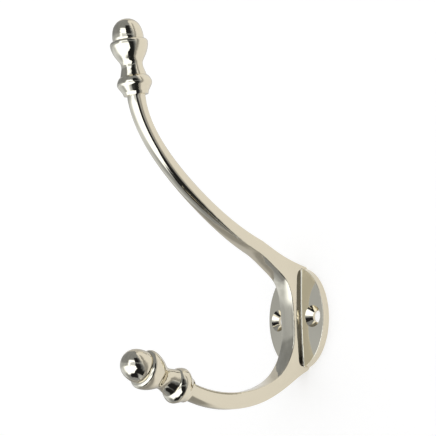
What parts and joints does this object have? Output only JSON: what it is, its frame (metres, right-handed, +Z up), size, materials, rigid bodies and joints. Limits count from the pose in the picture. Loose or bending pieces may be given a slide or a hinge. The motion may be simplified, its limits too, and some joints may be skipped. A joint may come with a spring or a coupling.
{
  "type": "hat and coat hook",
  "caption": "Polished nickel hat and coat hook with an oval wall plate, a rising hat arm, a J-shaped coat arm and an acorn finial on each end.",
  "frame": {"origin": "middle of the wall plate's back face, on the wall and between the two screw holes", "axes": "+Y into the wall, so the hook stands out along -Y; +Z up toward the hat arm's finial; +X to the right for a person facing the wall, along the line of the two screw holes"},
  "size_m": [0.0314, 0.0883, 0.1419],
  "materials": {
    "nickel": "polished nickel plate on a brass casting"
  },
  "bodies": {
    "root": {"hook": "nickel"}
  },
  "joints": []
}
